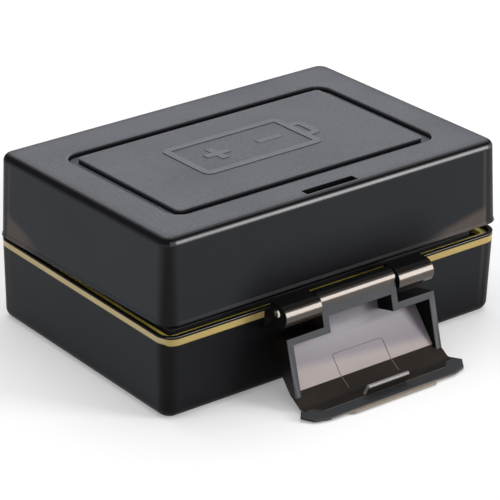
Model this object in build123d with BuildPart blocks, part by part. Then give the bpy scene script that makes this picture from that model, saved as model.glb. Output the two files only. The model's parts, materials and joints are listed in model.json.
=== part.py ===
"""A hinged battery case: two drafted shells, a seal, two inserts, a front latch and a rear hinge.

Millimetres, +Z up. The origin is the middle of the bottom face, +X runs along the length,
-Y is the latch side and +Y the hinge side. The lid stands a little ajar and the latch hangs open.
"""
import os
from math import atan2, degrees, hypot

from build123d import *

os.makedirs("parts", exist_ok=True)

# Case: outer sizes at the parting line, drafts in degrees
case_length = 100.0
case_width = 68.4
corner_radius = 4.0
inner_corner_radius = 1.0
base_height = 21.3
lid_height = 20.8
parting_gap = 0.4
wall = 2.3
floor_thickness = 2.0
roof_thickness = 3.0
base_draft = 1.6
lid_draft = 2.3
bottom_fillet = 2.6
roof_fillet = 1.8
overrun = 1.0

# Rim: a thin lip outside the seal, and the lid's tongue inside it
rim_lip = 1.0
seal_drop = 0.95
seal_height = 1.35
seal_width = 2.2
seal_round = 0.5
seal_play = 0.05
tongue_thickness = 1.0
tongue_length = 1.3
tongue_play = 0.3
flange_height = 2.0
lid_bead = 0.25
lid_bead_height = 0.9

# Lid top: a sunk frame around a flush plateau, and the slot that the latch snaps into
recess_side_margin = 10.8
recess_end_margin = 11.4
recess_radius = 4.5
recess_depth = 1.4
recess_shift = 0.8
moat_width = 2.7
moat_edge_round = 0.35
plateau_radius = 1.3
slot_length = 15.0
slot_width = 1.85
slot_depth = 1.6
slot_from_front = 4.3
slot_lead = 0.5
slot_round = 0.3

# Pins and knuckles
pin_radius = 1.0
pin_play = 0.06
pin_proud = 0.25
pin_chamfer = 0.3
knuckle_gap = 0.3

# Front latch hinge, carried by two lugs of the base
latch_pin_reach = 4.6
latch_pin_rise = 0.5
latch_knuckle_radius = 2.45
latch_width = 44.2
latch_barrel_length = 22.4
lug_nose_radius = 2.9
lug_nose_forward = 0.6
lug_nose_drop = 0.6
lug_back = 3.2
lug_drop = 4.6
lug_rim_step = 0.5

# Latch in its closed pose, measured from its pin: back is towards the case, rise is upwards
latch_open_angle = 165.0
skin = 1.0
root_back = -0.9
belly_back = -3.3
belly_rise = 5.6
knee_back = -3.1
knee_rise = 9.9
fold_back = 1.3
fold_rise = 18.9
crease_back = 4.15
crease_rise = 21.75
lip_back = 10.35
lip_rise = 24.0
lip_thickness = 1.0
lip_root = 2.0
frame_low_back = 2.2
frame_high_back = 2.4
shoulder_rise = 6.0
shoulder_bar = 1.75
side_bar = 1.8
neck_bar = 1.9
barrel_bar_rise = 3.7

# Lip outline beyond its crease: flared ends, twice cut corners, and a rim a little lower than the middle
lip_half_width = 24.4
lip_flare = 2.7
lip_cut = 5.5
lip_cut_half_width = 22.5
lip_edge_half_width = 18.5
lip_edge_round = 0.25
rim_start = 3.75
rim_drop = 0.25
tab_half_width = 13.4
tab_tip_half_width = 12.2
tab_length = 0.85
tab_thickness = 0.6
tab_edge_round = 0.2
ridge_length = 12.2
ridge_radius = 0.5
ridge_bite = 0.4
ridge_root_back = 7.1
ridge_root_radius = 0.6

# Rear hinge
hinge_pin_reach = 3.2
hinge_pin_rise = 0.2
hinge_knuckle_radius = 2.3
hinge_width = 48.0
hinge_lid_barrel = 28.0
hinge_pad_height = 5.0
hinge_pad_step = 1.2
lid_ajar_angle = 1.9

# Battery tray in the base: two pockets beside a divider
pocket_side_margin = 7.0
pocket_end_margin = 7.2
pocket_radius = 3.0
divider = 7.0
tray_wall = 1.2
tray_floor = 1.2
tray_deck = 1.4
tray_play = 0.2
tray_skirt_gap = 1.5
tray_rim = 0.9
scoop_radius = 9.0

# Card tray in the lid: four card pockets and two small ones between them
card_tray_drop = 6.5
card_plate = 3.6
card_skirt = 1.2
card_tray_play = 0.3
card_tray_radius = 2.0
card_side_margin = 1.35
card_end_margin = 2.85
card_depth = 2.4
card_rib = 3.0
card_notch_radius = 6.0
card_notch_depth = 2.9
small_card_length = 15.6
small_card_width = 11.6
small_card_spacing = 15.0
small_card_depth = 1.4

# Screws of both trays
screw_radius = 0.95
screw_length = 6.0
screw_head_radius = 1.8
screw_head_height = 1.2
screw_play = 0.02
screw_clearance = 0.2
screw_cross_length = 2.0
screw_cross_width = 0.45
screw_cross_depth = 0.6
boss_radius = 2.1
boss_play = 0.2
tray_screw_spacing = 36.0
card_screw_spacing = 44.0

# Places that several pieces share
front_y = -case_width / 2
back_y = case_width / 2
lid_bottom = base_height + parting_gap
lid_top = lid_bottom + lid_height
roof_underside = lid_top - roof_thickness
seal_top = base_height - seal_drop
seal_seat = seal_top - seal_height
seal_inset = rim_lip + seal_play
tongue_inset = seal_inset + seal_width + tongue_play
tongue_inner_inset = tongue_inset + tongue_thickness
tray_rim_inset = tongue_inner_inset + tongue_play
tray_inset = wall + tray_play
deck_underside = seal_seat - tray_deck
latch_pin_y = front_y - latch_pin_reach
latch_pin_z = base_height + latch_pin_rise
hinge_pin_y = back_y + hinge_pin_reach
hinge_pin_z = base_height + hinge_pin_rise
slot_y = front_y + slot_from_front
hinge_place = Pos(0, hinge_pin_y, hinge_pin_z)
lid_turn = hinge_place * Rot(-lid_ajar_angle, 0, 0) * hinge_place.inverse()
latch_turn = Pos(0, latch_pin_y, latch_pin_z) * Rot(latch_open_angle, 0, 0)


def in_lid(plane):
    """A plane of the closed case, carried by the lid to where the lid stands."""
    return Plane(lid_turn * plane.location)


def in_latch(plane):
    """A plane measured from the pin of the closed latch, turned to where the latch hangs."""
    return Plane(latch_turn * plane.location)


def level(height):
    """A level plane of the case."""
    return Plane.XY.offset(height)


def section(place):
    """A plane across the case at one place along its length; sketches there are in Y and Z."""
    return Plane.YZ.offset(place)


def inset_outline(inset):
    """The case's rounded outline, drawn in by an inset."""
    outline_radius = max(corner_radius - inset, inner_corner_radius)
    RectangleRounded(case_length - 2 * inset, case_width - 2 * inset, outline_radius)


# Base shell: drafted box, seal rim, screw bosses, latch lugs and rear knuckles
lug_length = (latch_width - latch_barrel_length) / 2 - knuckle_gap
lug_starts = (-latch_width / 2, latch_width / 2 - lug_length)
lug_nose_y = latch_pin_y - lug_nose_forward
lug_nose_z = latch_pin_z - lug_nose_drop
lug_step = lug_nose_z + lug_nose_radius - base_height + lug_rim_step
rear_knuckle_length = (hinge_width - hinge_lid_barrel) / 2 - knuckle_gap
rear_knuckle_starts = (-hinge_width / 2, hinge_width / 2 - rear_knuckle_length)
tray_screw_places = ((0, -tray_screw_spacing / 2), (0, tray_screw_spacing / 2))

with BuildPart() as base_shell:
    with BuildSketch(level(base_height)):
        inset_outline(0)
    extrude(amount=-base_height, taper=base_draft)
    fillet(base_shell.faces().sort_by(Axis.Z)[0].edges(), bottom_fillet)
    with BuildSketch(level(seal_seat)):
        inset_outline(rim_lip)
    extrude(amount=base_height - seal_seat + overrun, mode=Mode.SUBTRACT)
    with BuildSketch(level(seal_seat)):
        inset_outline(wall)
    extrude(amount=floor_thickness - seal_seat, taper=base_draft, mode=Mode.SUBTRACT)
    with BuildSketch(level(floor_thickness)):
        with Locations(*tray_screw_places):
            Circle(boss_radius)
    extrude(amount=deck_underside - floor_thickness)
    with BuildSketch(level(deck_underside)):
        with Locations(*tray_screw_places):
            Circle(screw_radius + screw_play)
    extrude(amount=-screw_length, mode=Mode.SUBTRACT)
    for start in lug_starts:
        with BuildSketch(section(start)):
            with Locations((lug_nose_y, lug_nose_z)):
                Circle(lug_nose_radius)
            with Locations((front_y, base_height - lug_rim_step)):
                Rectangle(rim_lip / 2, lug_drop, align=(Align.MIN, Align.MAX))
            make_hull()
            with Locations((lug_nose_y, lug_nose_z + lug_nose_radius)):
                Rectangle(lug_back, lug_step, align=(Align.MIN, Align.MAX))
        extrude(amount=lug_length)
    for start in rear_knuckle_starts:
        with BuildSketch(section(start)):
            with Locations((hinge_pin_y, hinge_pin_z)):
                Circle(hinge_knuckle_radius)
            with Locations((back_y, base_height - hinge_pad_step)):
                Rectangle(rim_lip / 2, hinge_pad_height, align=(Align.MAX, Align.MAX))
            make_hull()
        extrude(amount=rear_knuckle_length)
    with BuildSketch(section(-latch_width / 2)):
        with Locations((latch_pin_y, latch_pin_z)):
            Circle(pin_radius + pin_play)
    extrude(amount=latch_width, mode=Mode.SUBTRACT)
    with BuildSketch(section(-hinge_width / 2)):
        with Locations((hinge_pin_y, hinge_pin_z)):
            Circle(pin_radius + pin_play)
    extrude(amount=hinge_width, mode=Mode.SUBTRACT)
base_shell.part.label = "base_shell"
export_step(base_shell.part, "parts/base_shell.step")

# Seal ring: a soft ring on the seat, with its upper edges rounded
with BuildPart() as seal_ring:
    with BuildSketch(level(seal_seat)):
        inset_outline(seal_inset)
        with BuildSketch(mode=Mode.SUBTRACT):
            inset_outline(seal_inset + seal_width)
    extrude(amount=seal_height)
    fillet(seal_ring.faces().sort_by(Axis.Z)[-1].edges(), seal_round)
seal_ring.part.label = "seal_ring"
export_step(seal_ring.part, "parts/seal_ring.step")

# Battery tray: skirt and deck, two pockets beside the divider, and the rim that keeps the seal in place
pocket_length = (case_length - divider) / 2 - pocket_side_margin
pocket_width = case_width - 2 * pocket_end_margin
pocket_places = ((-(pocket_length + divider) / 2, 0), ((pocket_length + divider) / 2, 0))
pocket_floor = floor_thickness + tray_floor

with BuildPart() as battery_tray:
    with BuildSketch(level(seal_seat)):
        inset_outline(tray_inset)
    extrude(amount=floor_thickness + tray_skirt_gap - seal_seat, taper=base_draft)
    with BuildSketch(level(deck_underside)):
        inset_outline(tray_inset + tray_wall)
    extrude(amount=floor_thickness - deck_underside, taper=base_draft, mode=Mode.SUBTRACT)
    with BuildSketch(level(floor_thickness)):
        Rectangle(2 * (pocket_length + tray_wall) + divider, pocket_width + 2 * tray_wall)
    extrude(amount=deck_underside - floor_thickness)
    with BuildSketch(level(seal_seat)):
        inset_outline(tray_rim_inset)
        with BuildSketch(mode=Mode.SUBTRACT):
            inset_outline(tray_rim_inset + tray_rim)
    extrude(amount=seal_height)
    with BuildSketch(level(pocket_floor)):
        with Locations(*pocket_places):
            RectangleRounded(pocket_length, pocket_width, pocket_radius)
    extrude(amount=seal_seat - pocket_floor + overrun, mode=Mode.SUBTRACT)
    with BuildSketch(level(floor_thickness)):
        with Locations(*tray_screw_places):
            Circle(boss_radius + boss_play)
    extrude(amount=deck_underside - floor_thickness, mode=Mode.SUBTRACT)
    with BuildSketch(level(deck_underside)):
        with Locations(*tray_screw_places):
            Circle(screw_radius + screw_clearance)
    extrude(amount=tray_deck, mode=Mode.SUBTRACT)
    with BuildSketch(section(-divider / 2)):
        with Locations((0, seal_seat)):
            Circle(scoop_radius)
    extrude(amount=divider, mode=Mode.SUBTRACT)
battery_tray.part.label = "battery_tray"
export_step(battery_tray.part, "parts/battery_tray.step")

# Tray screws: round heads on the deck, shanks down into the bosses
with BuildPart() as tray_screws:
    with BuildSketch(level(seal_seat)):
        with Locations(*tray_screw_places):
            Circle(screw_head_radius)
    extrude(amount=screw_head_height)
    with BuildSketch(level(seal_seat)):
        with Locations(*tray_screw_places):
            Circle(screw_radius)
    extrude(amount=-screw_length)
    with BuildSketch(level(seal_seat + screw_head_height)):
        with Locations(*tray_screw_places):
            Rectangle(screw_cross_length, screw_cross_width)
            Rectangle(screw_cross_width, screw_cross_length)
    extrude(amount=-screw_cross_depth, mode=Mode.SUBTRACT)
tray_screws.part.label = "tray_screws"
export_step(tray_screws.part, "parts/tray_screws.step")

# Lid shell: drafted box with a bead at its edge, tongue, bosses, sunk frame, latch slot and rear knuckle
card_plate_bottom = lid_bottom + card_tray_drop
card_plate_top = card_plate_bottom + card_plate
card_screw_places = ((0, -card_screw_spacing / 2), (0, card_screw_spacing / 2))
recess_length = case_length - 2 * recess_side_margin
recess_width = case_width - 2 * recess_end_margin
bead_taper = degrees(atan2(lid_bead, lid_bead_height))
lid_up = Axis(in_lid(Plane.XY).origin, in_lid(Plane.XY).z_dir)

with BuildPart() as lid_shell:
    with BuildSketch(in_lid(level(lid_bottom))):
        inset_outline(0)
    extrude(amount=lid_height, taper=lid_draft)
    fillet(lid_shell.faces().sort_by(Axis.Z)[-1].edges(), roof_fillet)
    with BuildSketch(in_lid(level(lid_bottom))):
        inset_outline(-lid_bead)
    extrude(amount=lid_bead_height, taper=bead_taper)
    with BuildSketch(in_lid(level(lid_bottom))):
        inset_outline(tongue_inset)
    extrude(amount=-tongue_length)
    with BuildSketch(in_lid(level(lid_bottom - tongue_length))):
        inset_outline(tongue_inner_inset)
    extrude(amount=tongue_length + flange_height + overrun, mode=Mode.SUBTRACT)
    with BuildSketch(in_lid(level(lid_bottom + flange_height))):
        inset_outline(wall)
    extrude(amount=roof_underside - lid_bottom - flange_height, taper=lid_draft, mode=Mode.SUBTRACT)
    with BuildSketch(in_lid(level(roof_underside))):
        with Locations(*card_screw_places):
            Circle(boss_radius)
    extrude(amount=card_plate_top - roof_underside)
    with BuildSketch(in_lid(level(card_plate_top))):
        with Locations(*card_screw_places):
            Circle(screw_radius + screw_play)
    extrude(amount=screw_length, mode=Mode.SUBTRACT)
    with BuildSketch(in_lid(level(lid_top))):
        with Locations((0, -recess_shift)):
            RectangleRounded(recess_length, recess_width, recess_radius)
            RectangleRounded(
                recess_length - 2 * moat_width,
                recess_width - 2 * moat_width,
                plateau_radius,
                mode=Mode.SUBTRACT,
            )
    extrude(amount=-recess_depth, mode=Mode.SUBTRACT)
    fillet(lid_shell.edges(Select.LAST).group_by(lid_up)[-1], moat_edge_round)
    with BuildSketch(in_lid(level(lid_top))):
        with Locations((0, slot_y)):
            RectangleRounded(slot_length, slot_width, slot_round)
    extrude(amount=-slot_depth, mode=Mode.SUBTRACT)
    with BuildSketch(in_lid(section(-slot_length / 2))):
        with BuildLine():
            Polyline(
                (slot_y - slot_width / 2 - slot_lead, lid_top),
                (slot_y, lid_top),
                (slot_y, lid_top - slot_lead),
                (slot_y - slot_width / 2, lid_top - slot_lead),
                close=True,
            )
        make_face()
    extrude(amount=slot_length, mode=Mode.SUBTRACT)
    with BuildSketch(in_lid(section(-hinge_lid_barrel / 2))):
        with Locations((hinge_pin_y, hinge_pin_z)):
            Circle(hinge_knuckle_radius)
        with Locations((back_y, lid_bottom + hinge_pad_step)):
            Rectangle(rim_lip / 2, hinge_pad_height, align=(Align.MAX, Align.MIN))
        make_hull()
    extrude(amount=hinge_lid_barrel)
    with BuildSketch(in_lid(section(-hinge_lid_barrel / 2))):
        with Locations((hinge_pin_y, hinge_pin_z)):
            Circle(pin_radius + pin_play)
    extrude(amount=hinge_lid_barrel, mode=Mode.SUBTRACT)
lid_shell.part.label = "lid_shell"
export_step(lid_shell.part, "parts/lid_shell.step")

# Card tray: a plate under the roof with card pockets on its lower side and a skirt up to the roof
card_tray_inset = tongue_inner_inset + card_tray_play
card_tray_size = (case_length - 2 * card_tray_inset, case_width - 2 * card_tray_inset)
card_length = (card_tray_size[0] - small_card_length) / 2 - card_rib - card_side_margin
card_width = (card_tray_size[1] - card_rib) / 2 - card_end_margin
card_places = [
    (side * (small_card_length / 2 + card_rib + card_length / 2), row * (card_width + card_rib) / 2)
    for side in (-1, 1)
    for row in (-1, 1)
]
notch_places = [(side * (small_card_length / 2 + card_rib + card_length / 2), 0) for side in (-1, 1)]
small_card_places = ((0, -small_card_spacing / 2), (0, small_card_spacing / 2))

with BuildPart() as card_tray:
    with BuildSketch(in_lid(level(card_plate_bottom))):
        RectangleRounded(*card_tray_size, card_tray_radius)
    extrude(amount=roof_underside - card_plate_bottom)
    with BuildSketch(in_lid(level(card_plate_top))):
        Rectangle(card_tray_size[0] - 2 * card_skirt, card_tray_size[1] - 2 * card_skirt)
    extrude(amount=roof_underside - card_plate_top, mode=Mode.SUBTRACT)
    with BuildSketch(in_lid(level(card_plate_bottom))):
        with Locations(*card_places):
            Rectangle(card_length, card_width)
    extrude(amount=card_depth, mode=Mode.SUBTRACT)
    with BuildSketch(in_lid(level(card_plate_bottom))):
        with Locations(*small_card_places):
            Rectangle(small_card_length, small_card_width)
    extrude(amount=small_card_depth, mode=Mode.SUBTRACT)
    with BuildSketch(in_lid(level(card_plate_bottom))):
        with Locations(*notch_places):
            Circle(card_notch_radius)
    extrude(amount=card_notch_depth, mode=Mode.SUBTRACT)
    with BuildSketch(in_lid(level(card_plate_bottom))):
        with Locations(*card_screw_places):
            Circle(screw_radius + screw_clearance)
    extrude(amount=card_plate, mode=Mode.SUBTRACT)
card_tray.part.label = "card_tray"
export_step(card_tray.part, "parts/card_tray.step")

# Card tray screws: heads under the plate, shanks up into the lid's bosses
with BuildPart() as card_tray_screws:
    with BuildSketch(in_lid(level(card_plate_bottom))):
        with Locations(*card_screw_places):
            Circle(screw_head_radius)
    extrude(amount=-screw_head_height)
    with BuildSketch(in_lid(level(card_plate_bottom))):
        with Locations(*card_screw_places):
            Circle(screw_radius)
    extrude(amount=screw_length)
    with BuildSketch(in_lid(level(card_plate_bottom - screw_head_height))):
        with Locations(*card_screw_places):
            Rectangle(screw_cross_length, screw_cross_width)
            Rectangle(screw_cross_width, screw_cross_length)
    extrude(amount=screw_cross_depth, mode=Mode.SUBTRACT)
card_tray_screws.part.label = "card_tray_screws"
export_step(card_tray_screws.part, "parts/card_tray_screws.step")

# Hinge pin: a steel pin through the rear knuckles
with BuildPart() as hinge_pin:
    with BuildSketch(section(-hinge_width / 2 - pin_proud)):
        with Locations((hinge_pin_y, hinge_pin_z)):
            Circle(pin_radius)
    extrude(amount=hinge_width + 2 * pin_proud)
    chamfer(hinge_pin.edges().filter_by(GeomType.CIRCLE), pin_chamfer)
hinge_pin.part.label = "hinge_pin"
export_step(hinge_pin.part, "parts/hinge_pin.step")

# Latch pin: a steel pin through the lugs and the latch barrel
with BuildPart() as latch_pin:
    with BuildSketch(section(-latch_width / 2 - pin_proud)):
        with Locations((latch_pin_y, latch_pin_z)):
            Circle(pin_radius)
    extrude(amount=latch_width + 2 * pin_proud)
    chamfer(latch_pin.edges().filter_by(GeomType.CIRCLE), pin_chamfer)
latch_pin.part.label = "latch_pin"
export_step(latch_pin.part, "parts/latch_pin.step")

# Latch flap: barrel, leaning skin with ribs behind it, sloping lip with a thumb tab and a snap ridge
crease_slope = (crease_rise - fold_rise) / (crease_back - fold_back)
frame_high_rise = fold_rise + (frame_high_back - fold_back) * crease_slope
lip_length = hypot(lip_back - crease_back, lip_rise - crease_rise)
lip_run = (lip_back - crease_back) / lip_length
lip_climb = (lip_rise - crease_rise) / lip_length
lip_plane = Plane(origin=(0, crease_back, crease_rise), x_dir=(1, 0, 0), z_dir=(0, -lip_climb, lip_run))
lip_axis = Axis(in_latch(lip_plane).origin, in_latch(lip_plane).y_dir)
root = (root_back, 0)
belly = (belly_back, belly_rise)
knee = (knee_back, knee_rise)
fold = (fold_back, fold_rise)
crease = (crease_back, crease_rise)
lip_start = (crease_back + lip_root * lip_run, crease_rise + lip_root * lip_climb)
frame_low = (frame_low_back, shoulder_rise)
frame_high = (frame_high_back, frame_high_rise)
hollow_back = frame_high_back + overrun
hollow_half = latch_width / 2 - side_bar
neck_hollow_half = latch_barrel_length / 2 - neck_bar
hollow_bottom = shoulder_rise + shoulder_bar
belly_slope = (knee_back - belly_back) / (knee_rise - belly_rise)
wing_skin_back = belly_back + belly_slope * (hollow_bottom - belly_rise)
neck_skin_back = root_back + (belly_back - root_back) * barrel_bar_rise / belly_rise
ridge_tip = (slot_y - latch_pin_y, lid_top - ridge_bite + ridge_radius - latch_pin_z)
ridge_root = (ridge_root_back, crease_rise + (ridge_root_back - crease_back) * lip_climb / lip_run)

with BuildPart() as latch_flap:
    with BuildSketch(in_latch(section(-latch_width / 2))):
        with BuildLine():
            plate_line = Polyline(root, belly, knee, fold, crease, lip_start)
            offset(plate_line, amount=skin, side=Side.LEFT, closed=True)
        make_face()
        with BuildLine():
            Polyline(root, belly, knee, fold, frame_high, frame_low, (frame_low_back, 0), close=True)
        make_face()
    extrude(amount=latch_width)
    with BuildSketch(in_latch(section(-hollow_half))):
        with BuildLine():
            Polyline(
                (wing_skin_back, hollow_bottom),
                knee,
                fold,
                frame_high,
                (hollow_back, frame_high_rise),
                (hollow_back, hollow_bottom),
                close=True,
            )
        make_face()
    extrude(amount=2 * hollow_half, mode=Mode.SUBTRACT)
    with BuildSketch(in_latch(section(-neck_hollow_half))):
        with BuildLine():
            Polyline(
                (neck_skin_back, barrel_bar_rise),
                belly,
                (wing_skin_back, hollow_bottom),
                (hollow_back, hollow_bottom),
                (hollow_back, barrel_bar_rise),
                close=True,
            )
        make_face()
    extrude(amount=2 * neck_hollow_half, mode=Mode.SUBTRACT)
    for side in (-1, 1):
        with BuildSketch(in_latch(section(side * latch_barrel_length / 2))):
            with Locations((0, shoulder_rise)):
                Rectangle(2 * lip_back, 2 * shoulder_rise, align=(Align.CENTER, Align.MAX))
        extrude(amount=side * (latch_width + overrun) / 2, mode=Mode.SUBTRACT)
    with BuildSketch(in_latch(section(-latch_barrel_length / 2))):
        Circle(latch_knuckle_radius)
    extrude(amount=latch_barrel_length)
    with BuildSketch(in_latch(section(-latch_barrel_length / 2))):
        Circle(pin_radius + pin_play)
    extrude(amount=latch_barrel_length, mode=Mode.SUBTRACT)
    with BuildSketch(in_latch(lip_plane)):
        with BuildLine():
            Polyline((0, 0), (latch_width / 2, 0), (lip_edge_half_width, rim_start), (0, rim_start))
            mirror(about=Plane.YZ)
        make_face()
    extrude(amount=lip_thickness)
    with BuildSketch(in_latch(lip_plane.offset(rim_drop))):
        with BuildLine():
            Polyline(
                (0, 0),
                (latch_width / 2, 0),
                (lip_half_width, lip_flare),
                (lip_cut_half_width, lip_cut),
                (lip_edge_half_width, lip_length),
                (0, lip_length),
            )
            mirror(about=Plane.YZ)
        make_face()
    extrude(amount=lip_thickness - rim_drop)
    fillet(latch_flap.faces().sort_by(lip_axis)[-1].edges(), lip_edge_round)
    with BuildSketch(in_latch(lip_plane.offset(lip_thickness - tab_thickness))):
        with BuildLine():
            Polyline(
                (0, rim_start),
                (tab_half_width, rim_start),
                (tab_half_width, lip_length),
                (tab_tip_half_width, lip_length + tab_length),
                (0, lip_length + tab_length),
            )
            mirror(about=Plane.YZ)
        make_face()
    extrude(amount=tab_thickness)
    fillet(latch_flap.faces().sort_by(lip_axis)[-1].edges(), tab_edge_round)
    with BuildSketch(in_latch(section(-ridge_length / 2))):
        with Locations(ridge_tip):
            Circle(ridge_radius)
        with Locations(ridge_root):
            Circle(ridge_root_radius)
        make_hull()
    extrude(amount=ridge_length)
latch_flap.part.label = "latch_flap"
export_step(latch_flap.part, "parts/latch_flap.step")
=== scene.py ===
# %% [markdown]
# # A battery case, dressed for the camera
# The case arrives as a imported frame of plain solids in metres: two shells, a seal, a latch, two pins,
# two trays and their screws. The solids already have the right shapes and stand where they belong, so
# this lesson softens their moulded edges, makes the pieces that follow a path or repeat, and gives every
# surface a finish built from nodes. The box around the solids is kept.

# %% Load the frame
import json
import math
from types import SimpleNamespace

import bmesh
import bpy
from mathutils import Matrix, Vector


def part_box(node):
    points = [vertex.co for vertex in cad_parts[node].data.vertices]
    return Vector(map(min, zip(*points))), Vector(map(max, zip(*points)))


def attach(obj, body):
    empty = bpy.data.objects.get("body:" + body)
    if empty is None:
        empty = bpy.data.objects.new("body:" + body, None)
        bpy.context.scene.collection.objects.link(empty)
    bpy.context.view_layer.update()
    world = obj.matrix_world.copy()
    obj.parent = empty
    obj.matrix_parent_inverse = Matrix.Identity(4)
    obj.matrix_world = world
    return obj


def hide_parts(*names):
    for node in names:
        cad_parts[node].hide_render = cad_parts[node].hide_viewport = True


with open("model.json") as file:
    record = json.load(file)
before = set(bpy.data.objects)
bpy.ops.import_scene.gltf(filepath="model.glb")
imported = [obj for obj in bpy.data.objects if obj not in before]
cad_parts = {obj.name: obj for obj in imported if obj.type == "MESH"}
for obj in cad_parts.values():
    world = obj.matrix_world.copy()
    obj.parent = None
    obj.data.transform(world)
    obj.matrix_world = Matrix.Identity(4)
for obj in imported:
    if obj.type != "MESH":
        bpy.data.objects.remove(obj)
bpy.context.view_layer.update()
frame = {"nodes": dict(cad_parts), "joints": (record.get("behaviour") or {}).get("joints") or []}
scene = bpy.context.scene
scene.view_settings.view_transform = "Standard"
MM = 0.001
joints = {joint["name"]: Vector(joint["pos_m"]) for joint in frame["joints"]}

# %% [markdown]
# ## The camera
# The photograph was taken from the latch side, a little above the lid, with a long lens that hardly
# narrows the far edges. A camera can be aimed with a Track To constraint, but then it can't lean. The
# photograph leans by about a degree, so the camera gets three turns instead. Without them it looks
# straight down, and their product is read from right to left: the lean, the tilt and the turn.

# %% Place the camera
view_turn = math.radians(-38.35)
view_height = math.radians(25.55)
view_lean = math.radians(1.27)
view_place = (-0.4094, -0.5179, 0.3322)

camera_data = bpy.data.cameras.new("camera")
camera_data.sensor_width = 36
camera_data.lens = 218.6
camera_data.clip_start = 0.05
camera = bpy.data.objects.new("camera", camera_data)
camera.matrix_world = (
    Matrix.Translation(view_place) @ Matrix.Rotation(view_turn, 4, "Z")
    @ Matrix.Rotation(math.pi / 2 - view_height, 4, "X") @ Matrix.Rotation(view_lean, 4, "Z")
)
scene.collection.objects.link(camera)
scene.camera = camera
print("camera", view_place, "lens", camera_data.lens)

# %% [markdown]
# ## Helpers for node trees
# A finish is a small tree of nodes. Written out in full, each node takes four or five lines, so short
# helpers keep the trees readable. Some add a node and fill its inputs or do arithmetic, and one gives a
# smooth step from 0 to 1 over a span of values, which is the edge of every painted zone below.

# %% Node helpers
def put(tree, socket, value):
    """Links a socket to a value that is a socket, or sets it to a plain value."""
    if isinstance(value, bpy.types.NodeSocket):
        tree.links.new(value, socket)
    else:
        socket.default_value = value


def add_node(tree, kind, inputs=None, **settings):
    """A new node with its settings and inputs filled in."""
    made = tree.nodes.new(kind)
    for key, value in settings.items():
        setattr(made, key, value)
    for key, value in (inputs or {}).items():
        put(tree, made.inputs[key], value)
    return made


def output(tree, kind, inputs=None, **settings):
    """The first output of a new node."""
    return add_node(tree, kind, inputs, **settings).outputs[0]


def calc(tree, operation, first, second=0.0):
    """One step of arithmetic on sockets or plain numbers."""
    return output(tree, "ShaderNodeMath", {0: first, 1: second}, operation=operation)


def multiply(tree, first, *others):
    """The product of sockets and plain numbers."""
    for other in others:
        first = calc(tree, "MULTIPLY", first, other)
    return first


def opposite(tree, share):
    """What a share leaves of 1."""
    return calc(tree, "SUBTRACT", 1.0, share)


def diagonal(tree, first, second):
    """The length of the diagonal over two sides."""
    squares = [calc(tree, "POWER", side, 2) for side in (first, second)]
    return calc(tree, "POWER", calc(tree, "ADD", *squares), 0.5)


def step(tree, value, start, end):
    """0 before start and 1 after end, with a smooth change between them."""
    span = {"Value": value, "From Min": start, "From Max": end}
    return output(tree, "ShaderNodeMapRange", span, interpolation_type="SMOOTHSTEP")


def ramp(tree, value, low, high, start=0.0, end=1.0):
    """Goes evenly from low to high as value goes from start to end, and stays there."""
    span = {"Value": value, "From Min": start, "From Max": end, "To Min": low, "To Max": high}
    return output(tree, "ShaderNodeMapRange", span)


def soft_edge(tree, value, place, soft):
    """0 before place and 1 after it, with a smooth change over soft on both sides."""
    return step(tree, value, place - soft, place + soft)


def blend(tree, share, first, second):
    """A colour that goes from first to second as share goes from 0 to 1."""
    made = add_node(tree, "ShaderNodeMix", {0: share, 6: first, 7: second}, data_type="RGBA")
    return made.outputs[2]


def noise(tree, place, size, detail=2.0):
    """Cloudy noise with features of about the given size."""
    return output(tree, "ShaderNodeTexNoise", {"Vector": place, "Scale": 1 / size, "Detail": detail})


def split(tree, vector):
    """The X, Y and Z sockets of a vector."""
    return add_node(tree, "ShaderNodeSeparateXYZ", {0: vector}).outputs


def turned_back(tree, spot, joint, angle):
    """The X, Y and Z sockets of a point, turned by angle about a joint's axis."""
    turn = {"Vector": spot, "Center": joints[joint], "Angle": angle}
    return split(tree, output(tree, "ShaderNodeVectorRotate", turn, rotation_type="X_AXIS"))


def coat(tree, shader, colour, pattern, smooth, rough):
    """Gives a finish its colour, and a roughness that follows a pattern."""
    put(tree, shader.inputs["Base Color"], colour)
    put(tree, shader.inputs["Roughness"], ramp(tree, pattern, smooth, rough))


def emboss(tree, shader, height, strength, depth):
    """Gives a finish a fine relief."""
    relief = {"Height": height, "Strength": strength, "Distance": depth}
    put(tree, shader.inputs["Normal"], output(tree, "ShaderNodeBump", relief))


def new_finish(name, **sockets):
    """A material whose shader has these values, with its tree, its shader and its coordinates."""
    made = bpy.data.materials.new(name)
    made.use_nodes = True
    tree = made.node_tree
    shader = tree.nodes["Principled BSDF"]
    for key, value in sockets.items():
        shader.inputs[key.replace("_", " ")].default_value = value
    return made, tree, shader, add_node(tree, "ShaderNodeTexCoord").outputs


def new_plastic(name, specular, ior=1.5):
    """The same for a plastic, with its specular level and its refractive index."""
    return new_finish(name, Specular_IOR_Level=specular, IOR=ior)


print("node helpers ready")

# %% [markdown]
# ## Floor, backdrop and light
# The photograph is a product cut-out: white all round, soft light and no hard shadow. A pale floor under
# three soft lamps and an even world gives that. To the camera, and to reflections, the world is plain
# white, while the light it sheds stays at an everyday level so that colours render as written.

# %% Build the stage
floor_half = 2.5
floor_tones = ((0.84, 0.84, 0.84, 1), (0.87, 0.87, 0.87, 1))
floor_tooth, floor_lift = 1.5 * MM, 0.22
world_light, world_seen = 0.45, 1.0
white = (1, 1, 1, 1)
lamp_aim = Vector((0, 0, 0.03))
# Name, place, width, height and power of each lamp
lamps = (
    ("key_softbox", (0.52, -0.68, 0.28), 0.30, 0.50, 5.0),
    ("top_softbox", (0.05, 0.15, 0.80), 0.70, 0.70, 2.4),
    ("left_softbox", (-0.75, 0.20, 0.36), 0.30, 0.30, 1.2),
)


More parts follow.
